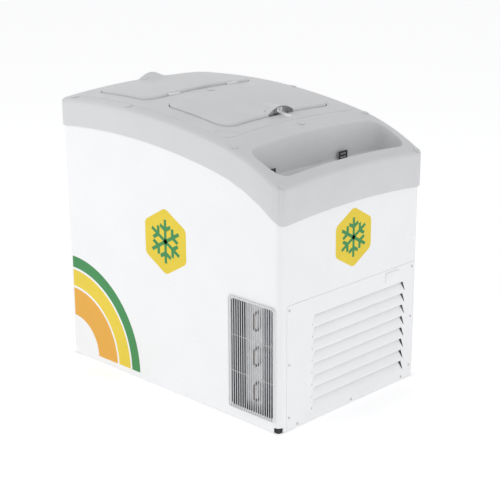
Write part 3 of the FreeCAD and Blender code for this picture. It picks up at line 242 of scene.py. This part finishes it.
MATERIALS = {
    "top_plastic": material("moulded_grey_plastic", (0.655, 0.658, 0.665), 0.4, bump=0.12, grain=1400),
    "liner_plastic": material("liner_plastic", (0.80, 0.81, 0.81), 0.42, bump=0.08),
    "white_steel": material("white_painted_steel", (0.89, 0.895, 0.905), 0.3, bump=0.05,
                            grain=500, shade=0.012, coat=0.25),
    "grey_wire": material("coated_wire", (0.72, 0.73, 0.74), 0.35, bump=0.1, shade=0.05),
    "galvanised": material("galvanised_sheet", (0.58, 0.59, 0.60), 0.42, metallic=0.85,
                           shade=0.12, blotch=60, bump=0.05),
    "black_steel": material("black_painted_steel", (0.025, 0.025, 0.028), 0.38, bump=0.2,
                            shade=0.15, grain=1800),
    "seal_rubber": material("seal_rubber", (0.42, 0.43, 0.43), 0.7, bump=0.1),
    "foam": material("insulation_foam", (0.78, 0.68, 0.42), 0.9, bump=1.0, grain=350,
                     shade=0.1, blotch=30),
    "tube_aluminium": material("aluminium", (0.66, 0.67, 0.68), 0.4, metallic=0.9, shade=0.08,
                               streak=(1, 1, 9)),
    # Painted shade: the copper is darkened to a dull brown so that the condenser behind the guard
    # reads as dark as the shaded machine bay
    "tube_copper": material("shade_darkened_copper_tube", (0.20, 0.15, 0.125), 0.5, metallic=0.7, shade=0.15,
                            blotch=40),
    "black_plastic": material("black_plastic", (0.022, 0.022, 0.024), 0.5, bump=0.3, shade=0.1),
    "mount_rubber": material("mount_rubber", (0.03, 0.03, 0.03), 0.8, bump=0.3),
}
PRINT = {
    "green": material("print_green", (0.012, 0.235, 0.045), 0.32, shade=0.04, coat=0.2),
    "yellow": material("print_yellow", (0.80, 0.60, 0.008), 0.32, shade=0.03, coat=0.2),
    "amber": material("print_amber", (0.79, 0.38, 0.012), 0.32, shade=0.03, coat=0.2),
}
slots = {r["node"]: r["material_slot"] for r in frame["record"]["subparts"]}
for name, node in nodes.items():
    node.data.materials.clear()
    node.data.materials.append(MATERIALS[slots[name]])


# ---------------------------------------------------------------------------------------------
# Mesh helpers
# ---------------------------------------------------------------------------------------------

WELD = 0.02                # points nearer than this become one
FLAT_DEG = 0.4             # faces within this angle become one


def whole_faces(bm, weld):
    bmesh.ops.remove_doubles(bm, verts=bm.verts, dist=weld * MM)
    bmesh.ops.dissolve_limit(bm, angle_limit=math.radians(FLAT_DEG), verts=bm.verts, edges=bm.edges)
    return bm


def welded(name):
    """A node's surface as whole faces, for a finer piece to be made from."""
    bm = bmesh.new()
    bm.from_mesh(nodes[name].data)
    return whole_faces(bm, WELD)


def joined(names):
    """Pieces that meet at the joint of the moulding, as one surface without the joint's faces."""
    bm = bmesh.new()
    for name in names:
        bm.from_mesh(nodes[name].data)
    middle = JOINT_X + JOINT_GAP / 2
    inner = [f for f in bm.faces if all(abs(v.co.x / MM - middle) < JOINT_GAP for v in f.verts)]
    bmesh.ops.delete(bm, geom=inner, context="FACES")
    return whole_faces(bm, 3 * JOINT_GAP)


def sliced(bm, axis, places):
    """Cut every face along planes square to an axis, so that it can follow a curve."""
    normal = Vector((axis == 0, axis == 1, axis == 2))
    for p in sorted(set(round(v, 3) for v in places)):
        bmesh.ops.bisect_plane(bm, geom=bm.verts[:] + bm.edges[:] + bm.faces[:],
                               plane_co=normal * p * MM, plane_no=normal, dist=1e-6)


def points(bm):
    return np.array([v.co for v in bm.verts]).T / MM


def move_up(bm, z):
    for v, height in zip(bm.verts, z):
        v.co.z = height * MM


def piece(bm, name, slot, body, replaced=(), sharp_deg=38.0, surface=None):
    """Turn a mesh into a piece of the scene that rides on a body and may replace nodes."""
    for f in bm.faces:
        f.smooth = True
    for e in bm.edges:
        e.smooth = len(e.link_faces) == 2 and e.calc_face_angle() < math.radians(sharp_deg)
    mesh = bpy.data.meshes.new(name)
    bm.to_mesh(mesh)
    bm.free()
    mesh.materials.append(surface or MATERIALS[slot])
    obj = bpy.data.objects.new(name, mesh)
    bpy.context.scene.collection.objects.link(obj)
    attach(obj, body)
    if replaced:
        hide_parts(*replaced)
    return obj


def onto_arcs(bm, x0, x1, half, r, reach=7.0):
    """Carry the straight corner steps of a rounded outline out onto their arcs."""
    turn = math.radians(90 / CORNER_STEPS)
    for v in bm.verts:
        x, y = v.co.x / MM, v.co.y / MM
        cx = x1 - r if x > (x0 + x1) / 2 else x0 + r
        cy = half - r if y > 0 else r - half
        dx, dy = x - cx, y - cy
        if dx * (x - (x0 + x1) / 2) <= 0 or dy * y <= 0:
            continue
        inset = math.cos(turn / 2) / math.cos(math.atan2(abs(dy), abs(dx)) % turn - turn / 2)
        share = max(0.0, 1 - abs(math.hypot(dx, dy) / inset - r) / reach)
        k = 1 + (1 / inset - 1) * share
        v.co.x, v.co.y = (cx + dx * k) * MM, (cy + dy * k) * MM


def near_edges(bm, test, least_deg=35.0):
    """Edges with both ends where test is true and a real angle between their faces."""
    x, y, z = points(bm)
    good = test(x, y, z)
    bm.verts.index_update()
    return [e for e in bm.edges if good[e.verts[0].index] and good[e.verts[1].index]
            and len(e.link_faces) == 2 and e.calc_face_angle() > math.radians(least_deg)]


def bevelled(bm, edges, width, segments):
    bmesh.ops.bevel(bm, geom=edges, offset=width * MM, offset_type="OFFSET",
                    segments=segments, profile=0.5, affect="EDGES", clamp_overlap=True)


def spread(a, b, gap):
    """Places from a to b about a gap apart."""
    n = max(1, round((b - a) / gap))
    return steps(a, b, n)


# ---------------------------------------------------------------------------------------------
# Top moulding: the stepped solid carried onto its smooth arch, crown and rounded edges
# ---------------------------------------------------------------------------------------------

def seat_outlines():
    """Outline of the seat that each lid lies in."""
    for s, hinge, edge in LIDS.values():
        x0, x1 = sorted((hinge + s * LID_GAP / 2, edge))
        yield x0 - LID_GAP, x1 + LID_GAP, LID_W + LID_GAP, LID_R + LID_GAP


def recess_fall(x, y):
    """Depth of the shallow recess at a point of the top."""
    (ax, ay), (bx, by) = RECESS_A, RECESS_B
    along = np.clip(((x - ax) * (bx - ax) + (y - ay) * (by - ay))
                    / ((bx - ax) ** 2 + (by - ay) ** 2), 0, 1)
    off = np.hypot(x - ax - along * (bx - ax), y - ay - along * (by - ay))
    return RECESS_DEPTH * np.clip((RECESS_R - off) / RECESS_SLOPE, 0, 1)


def moulding():
    halves = ["top_moulding", "nose_moulding"]
    bm = joined(halves)
    forms = {"stepped": (STEPPED, EDGE_STEPS), "smooth": (SMOOTH, EDGE_FINE)}
    outer = {k: rounded_off(arch_line(0.0, *n), TOP_L, EDGE_R, e) for k, (n, e) in forms.items()}
    across = {k: rounded_off(CROWN[k], TOP_W, EDGE_R, e) for k, (n, e) in forms.items()}

    def surface(kind, x, y):
        return at(outer[kind], np.clip(x, -TOP_L, TOP_L)) + at(across[kind], np.clip(y, -TOP_W, TOP_W))

    def tray_rim(x, y, z):
        gap = rect_gap(x, y, *TRAY) - (z - TRAY_FLOOR_Z) * math.tan(math.radians(TRAY_LEAN))
        return (np.abs(gap) < 1.8) & (np.abs(z - surface("stepped", x, y)) < 0.3)

    def seat_rim(x, y, z):
        out = np.zeros(len(x), bool)
        for outline in seat_outlines():
            out |= np.abs(rect_gap(x, y, *outline)) < 0.5
        return out & (np.abs(z - surface("stepped", x, y) - PLATFORM_RISE) < 0.4)

    def field_rim(x, y, z):
        gap = rect_gap(x, y, *PLATFORM)
        return (np.abs(gap) < 0.4) & (np.abs(z - surface("stepped", x, y) - PLATFORM_RISE) < 0.3)

    bevelled(bm, near_edges(bm, tray_rim), RIM_ROUND, 6)
    bevelled(bm, near_edges(bm, seat_rim), SEAT_ROUND, 3)
    bevelled(bm, near_edges(bm, field_rim, 60), FIELD_ROUND, 2)
    turn = [EDGE_R * math.sin(math.radians(a)) for a in range(0, 90, 10)]
    xs = spread(-TOP_L + EDGE_R, TOP_L - EDGE_R, 22.0)
    xs += [s * (TOP_L - EDGE_R + t) for s in (-1, 1) for t in turn]
    ys = spread(-TOP_W + EDGE_R, TOP_W - EDGE_R, 24.0)
    ys += [s * (TOP_W - EDGE_R + t) for s in (-1, 1) for t in turn]
    margin = RECESS_R + 2
    xs += spread(RECESS_A[0] - margin, RECESS_B[0] + margin, RECESS_SLOPE)
    ys += spread(RECESS_A[1] - margin, RECESS_B[1] + margin, RECESS_SLOPE)
    sliced(bm, 0, xs)
    sliced(bm, 1, ys)
    for outline in seat_outlines():
        onto_arcs(bm, *outline)
    x, y, z = points(bm)
    on_field = np.abs(z - surface("stepped", x, y) - PLATFORM_RISE) < 1.8
    sunk = np.where(on_field, recess_fall(x, y), 0.0)
    depth = surface("stepped", x, y) - z
    upper = np.clip((HIDDEN_TO - depth) / (HIDDEN_TO - HIDDEN_FROM), 0, 1)
    arch = at(arch_line(0.0, *SMOOTH), x) - at(arch_line(0.0, *STEPPED), x)
    crown = at(CROWN["smooth"], y) - at(CROWN["stepped"], y)
    lift = upper * (surface("smooth", x, y) - surface("stepped", x, y)) + (1 - upper) * (arch + crown)
    low = (z < TRAY_FLOOR_Z + 1.0) & (rect_gap(x, y, *TRAY) < 12.0)
    move_up(bm, np.where(low, z, np.minimum(z + lift, cad_box[1].z / MM) - sunk))
    return piece(bm, "top_moulding_smooth", "top_plastic", "cabinet", halves, 40)


def lid(name, s, hinge, edge):
    """Lid cover with a rounded edge, and a hood that swells softly out of it."""
    bm = welded(name + "_lid_cover")
    x0, x1 = sorted((hinge + s * LID_GAP / 2, edge))
    near = [0.25, 0.8, 1.6, 2.6, 4.0, 5.0, 6.0]
    corner = [6.0 + 3.0 * i for i in range(1, 14)]
    xs = spread(x0, x1, 16.0) + [x0 + v for v in near + corner] + [x1 - v for v in near + corner]
    ys = spread(-LID_W, LID_W, 16.0) + [f * (LID_W - v) for v in near + corner for f in (-1, 1)]
    xs += [edge - s * v for v in spread(0, HOOD_RUN + 8, 5.0)]
    ys += spread(-HOOD_W - 6, HOOD_W + 6, 4.0)
    sliced(bm, 0, [v for v in xs if x0 + 0.1 < v < x1 - 0.1])
    sliced(bm, 1, [v for v in ys if abs(v) < LID_W - 0.1])
    onto_arcs(bm, x0, x1, LID_W, LID_R)
    x, y, z = points(bm)

    stepped = top("stepped", x, y, LID_PROUD)
    smooth = top("smooth", x, y, LID_PROUD)
    ends = np.maximum(0, LID_BEVEL - np.minimum(x - x0, x1 - x))
    sides = np.maximum(0, LID_BEVEL - (LID_W - np.abs(y)))
    solid_top = stepped - ends - sides
    run = np.clip(np.abs(x - edge) / HOOD_RUN, 0, 1)
    half = HOOD_W * (1 - run * HOOD_TAPER)
    far_x = edge - s * HOOD_RUN
    rim = (1 - run) * top("stepped", edge, HOOD_W, LID_PROUD) + run * top(
        "stepped", far_x, HOOD_W * (1 - HOOD_TAPER), LID_PROUD)
    crest = (1 - run) * (top("stepped", edge, 0, LID_PROUD) + HOOD_H) + run * (
        top("stepped", far_x, 0, LID_PROUD) - HOOD_SINK)
    rise = crest - rim
    t = np.clip(y / half, -1, 1)
    grid = np.linspace(-1, 1, HOOD_STEPS + 1)
    nowhere = -1e3
    hood_stepped = np.where(np.abs(y) < half, rim + rise * np.interp(t, grid, 1 - grid ** 2), nowhere)
    flared = half * HOOD_FLARE
    bell = 0.5 * (1 + np.cos(np.pi * np.clip(y / flared, -1, 1)))
    soft = (1 - t * t) * (1 - HOOD_BELL) + bell * HOOD_BELL
    hood_smooth = np.where(np.abs(y) < flared, rim + rise * soft, nowhere)

    inside = -rect_gap(x, y, x0, x1, LID_W, LID_R)
    r = LID_ROUND
    fall = r - np.sqrt(np.maximum(0, r * r - np.maximum(0, r - np.maximum(inside, 0)) ** 2))
    from_hinge = s * (x - hinge)
    target = smooth - fall - HINGE_EASE * np.clip(1 - from_hinge / HINGE_EASE_RUN, 0, 1)
    blend = np.clip(0.5 + (hood_smooth - target) / (2 * HOOD_BLEND), 0, 1)
    target = target * (1 - blend) + hood_smooth * blend + HOOD_BLEND * blend * (1 - blend)
    near_top = 0.6
    on_top = (z > np.maximum(solid_top, hood_stepped) - near_top) & (
        z > stepped - LID_BEVEL * 2 - near_top)
    lift = smooth - stepped
    move_up(bm, np.minimum(np.where(on_top, target, z + lift), cad_box[1].z / MM - 0.05))
    return piece(bm, name + "_lid_smooth", "top_plastic", name + "_lid",
                 [name + "_lid_cover"], 42)


def caps():
    """Round screw caps, each square to the surface that it lies on."""
    bm = bmesh.new()
    side_view = rounded_off(arch_line(0.0, *SMOOTH), TOP_L, EDGE_R, EDGE_FINE)
    for x, y in CAPS:
        inside = rect_gap(np.array([float(x)]), np.array([float(y)]), *PLATFORM)[0] < 0
        rise = PLATFORM_RISE if inside else 0.0
        h = 4.0
        z = float(at(side_view, x) + at(CROWN["smooth"], y)) + rise
        nx = -float(at(side_view, x + h) - at(side_view, x - h)) / (2 * h)
        ny = -float(at(CROWN["smooth"], y + h) - at(CROWN["smooth"], y - h)) / (2 * h)
        up = Vector((nx, ny, 1)).normalized()
        turn = up.to_track_quat("Z", "Y").to_matrix().to_4x4()
        here = Matrix.Translation(Vector((x, y, z)) * MM + up * CAP_GAP * MM) @ turn
        rings = [(CAP_R, 0.0), (CAP_R, CAP_H * 0.45), (CAP_R - 0.6, CAP_H * 0.85),
                 (CAP_R - 1.8, CAP_H), (CAP_R * 0.45, CAP_H)]
        n = CAP_SIDES
        loops = []
        for rr, zz in rings:
            loops.append([bm.verts.new(here @ Vector((rr * MM * math.cos(2 * math.pi * i / n),
                                                      rr * MM * math.sin(2 * math.pi * i / n),
                                                      zz * MM))) for i in range(n)])
        for a, b in zip(loops, loops[1:]):
            for i in range(n):
                bm.faces.new((a[i - 1], a[i], b[i], b[i - 1]))
        bm.faces.new(loops[-1])
        bm.faces.new(loops[0][::-1])
    return piece(bm, "screw_caps_round", "top_plastic", "cabinet", ["screw_caps"], 50)


def smooth_copy(node, body="cabinet", edge=0.0, slot=None):
    """The node's own shape with rounded shading, and its sharp edges broken if asked."""
    bm = welded(node)
    if edge:
        edges = [e for e in bm.edges if len(e.link_faces) == 2
                 and e.calc_face_angle() > math.radians(50)]
        bevelled(bm, edges, edge, 2)
    return piece(bm, node + "_fine", slot or slots[node], body, [node])


moulding()
for lid_name, (side, hinge_x, outer_x) in LIDS.items():
    lid(lid_name, side, hinge_x, outer_x)
    smooth_copy(lid_name + "_hinge_fixed_leaves")
    smooth_copy(lid_name + "_hinge_lid_leaves", lid_name + "_lid")
    smooth_copy(lid_name + "_lock_angle", edge=0.4, slot="white_steel")
    smooth_copy(lid_name + "_lock_plate", lid_name + "_lid", edge=0.4, slot="white_steel")
caps()
for plain in ("outer_cabinet", "wire_guard", "end_panel", "fan_motor", "compressor",
              "condenser_tubes", "discharge_pipe", "suction_pipe", "tank_liner"):
    smooth_copy(plain)
for plain in ("tray_clips", "thermostat_cover", "corner_feet", "panel_screws"):
    smooth_copy(plain, edge=0.5)


# ---------------------------------------------------------------------------------------------
# Printed bands and motifs
# ---------------------------------------------------------------------------------------------

PRINT_LIFT, UPPER_LIFT = 0.12, 0.2          # off the sheet, of a print and of one laid over it


def flat_print(name, colour, outline, to_place):
    """A thin printed shape from an outline of points (u, v), laid on a face."""
    bm = bmesh.new()
    verts = [bm.verts.new(to_place(u, v)) for u, v in outline]
    for i in range(len(verts)):
        bm.edges.new((verts[i - 1], verts[i]))
    bmesh.ops.triangle_fill(bm, use_beauty=True, edges=bm.edges[:])
    bmesh.ops.recalc_face_normals(bm, faces=bm.faces[:])
    return piece(bm, name, None, "cabinet", surface=PRINT[colour])


def on_side(u, v, lift=PRINT_LIFT):
    return Vector((u, -HALF_W - lift, v)) * MM


def on_end(u, v, lift=PRINT_LIFT):
    return Vector((HALF_L + lift, u, v)) * MM


def arc(cx, cz, r, a0, a1, n=40):
    return [(cx + r * math.cos(math.radians(a)), cz + r * math.sin(math.radians(a)))
            for a in steps(a0, a1, n)]


def ring_sector(cx, cz, r0, r1, a0, a1):
    return arc(cx, cz, r1, a0, a1) + arc(cx, cz, r0, a1, a0)


CORNER = (-HALF_L + 19.0, 22.0)
CORNER_BANDS = {"green": (292, 332), "yellow": (226, 284), "amber": (120, 218)}
for band, radii in CORNER_BANDS.items():
    flat_print("corner_band_" + band, band, ring_sector(*CORNER, *radii, 0, 90), on_side)


def hexagon(r, corner_r):
    """Hexagon with rounded corners, as points (u, v)."""
    out = []
    for k in range(6):
        a = math.radians(60 * k + 30)
        cx, cz = (r - corner_r) * math.cos(a), (r - corner_r) * math.sin(a)
        out += [(cx + corner_r * math.cos(b), cz + corner_r * math.sin(b))
                for b in [a + math.radians(d) for d in (-30, -18, -6, 6, 18, 30)]]
    return out


def flake_arm(length, w, k):
    """Arm k of a six-armed ice crystal, with a pair of short twigs."""
    twig, out_at = length * 0.32, length * 0.55
    c, s = math.cos(math.radians(60)), math.sin(math.radians(60))
    half = [(w, 0.0), (w, out_at - w)]
    half += [(w + twig * s, out_at - w + twig * c), (w + twig * s - w * c, out_at + w + twig * c)]
    half += [(w, out_at + 1.6 * w), (w, length)]
    loop = half + [(-x, y) for x, y in half[::-1]]
    a = math.radians(60 * k)
    return [(x * math.cos(a) - y * math.sin(a), x * math.sin(a) + y * math.cos(a))
            for x, y in loop]


def motif(name, cx, cz, r, face):
    """Yellow hexagon of radius r on a face, with a green ice crystal over it."""
    def above(u, v):
        return face(u, v, UPPER_LIFT)

    flat_print(name + "_field", "yellow", [(cx + u, cz + v) for u, v in hexagon(r, r * 0.22)], face)
    for k in range(6):
        flat_print(name + "_arm_" + str(k), "green",
                   [(cx + u, cz + v) for u, v in flake_arm(r * 0.68, r * 0.055, k)], above)


motif("side_motif", 3.0, 503.0, 105.0, on_side)
motif("end_motif", 4.0, 547.0, 92.0, on_end)


# ---------------------------------------------------------------------------------------------
# Floor, light and camera
# ---------------------------------------------------------------------------------------------

FLOOR_HALF = 40.0


def floor():
    bm = bmesh.new()
    for x in (-FLOOR_HALF, FLOOR_HALF):
        for y in (-FLOOR_HALF, FLOOR_HALF):
            bm.verts.new((x, y, 0.0))
    v = list(bm.verts)
    bm.faces.new((v[0], v[2], v[3], v[1]))
    mesh = bpy.data.meshes.new("floor")
    bm.to_mesh(mesh)
    bm.free()
    m = bpy.data.materials.new("studio_floor")
    m.use_nodes = True
    b = m.node_tree.nodes["Principled BSDF"]
    b.inputs["Base Color"].default_value = (0.86, 0.86, 0.865, 1)
    b.inputs["Roughness"].default_value = 0.9
    b.inputs["Specular IOR Level"].default_value = 0.1
    b.inputs["Emission Color"].default_value = (1, 1, 1, 1)
    b.inputs["Emission Strength"].default_value = 0.42
    mesh.materials.append(m)
    obj = bpy.data.objects.new("floor", mesh)
    bpy.context.scene.collection.objects.link(obj)


def area_light(name, place, aim, size, power):
    data = bpy.data.lights.new(name, "AREA")
    data.shape = "RECTANGLE"
    data.size, data.size_y = size
    data.energy = power
    obj = bpy.data.objects.new(name, data)
    obj.location = place
    obj.rotation_euler = (Vector(aim) - Vector(place)).to_track_quat("-Z", "Y").to_euler()
    bpy.context.scene.collection.objects.link(obj)


def world():
    """Soft white light, with a white background for the camera and for reflections."""
    w = bpy.data.worlds.new("studio")
    bpy.context.scene.world = w
    w.use_nodes = True
    t = w.node_tree
    t.nodes.clear()
    out = t.nodes.new("ShaderNodeOutputWorld")
    ray = t.nodes.new("ShaderNodeLightPath")
    seen = t.nodes.new("ShaderNodeBackground")
    seen.inputs["Color"].default_value = (1, 1, 1, 1)
    seen.inputs["Strength"].default_value = 1.0
    lit = t.nodes.new("ShaderNodeBackground")
    lit.inputs["Color"].default_value = (0.985, 0.99, 1, 1)
    lit.inputs["Strength"].default_value = 0.62
    most = t.nodes.new("ShaderNodeMath")
    most.operation = "MAXIMUM"
    all_three = t.nodes.new("ShaderNodeMath")
    all_three.operation = "MAXIMUM"
    mix = t.nodes.new("ShaderNodeMixShader")
    t.links.new(ray.outputs["Is Camera Ray"], most.inputs[0])
    t.links.new(ray.outputs["Is Glossy Ray"], most.inputs[1])
    t.links.new(most.outputs[0], all_three.inputs[0])
    t.links.new(ray.outputs["Is Transmission Ray"], all_three.inputs[1])
    t.links.new(all_three.outputs[0], mix.inputs["Fac"])
    t.links.new(lit.outputs[0], mix.inputs[1])
    t.links.new(seen.outputs[0], mix.inputs[2])
    t.links.new(mix.outputs[0], out.inputs["Surface"])


CAMERA_TURN = (0.7766, 0.3068, -0.005)      # yaw, pitch and roll in radians
CAMERA_PLACE = (2.9670, -2.9665, 1.7296)
CAMERA_LENS = 95.96


def camera():
    yaw, pitch, roll = CAMERA_TURN
    fwd = Vector((-math.sin(yaw) * math.cos(pitch), math.cos(yaw) * math.cos(pitch),
                  -math.sin(pitch)))
    right = Vector((math.cos(yaw), math.sin(yaw), 0))
    up = right.cross(fwd)
    r = right * math.cos(roll) + up * math.sin(roll)
    u = up * math.cos(roll) - right * math.sin(roll)
    data = bpy.data.cameras.new("camera")
    data.sensor_width = 36.0
    data.lens = CAMERA_LENS
    data.clip_end = 200.0
    obj = bpy.data.objects.new("camera", data)
    turn = Matrix((r, u, -fwd)).transposed().to_4x4()
    obj.matrix_world = Matrix.Translation(CAMERA_PLACE) @ turn
    bpy.context.scene.collection.objects.link(obj)
    bpy.context.scene.camera = obj


floor()
world()
area_light("key", (-1.6, -3.6, 2.6), (0, 0, 0.5), (2.6, 2.2), 40)
area_light("end_fill", (3.8, 0.6, 1.9), (0.2, 0, 0.5), (2.0, 2.0), 17)
area_light("top_soft", (-0.6, 0.8, 4.2), (0, 0, 0.6), (3.4, 3.0), 5)
camera()
bpy.context.scene.view_settings.view_transform = "Standard"
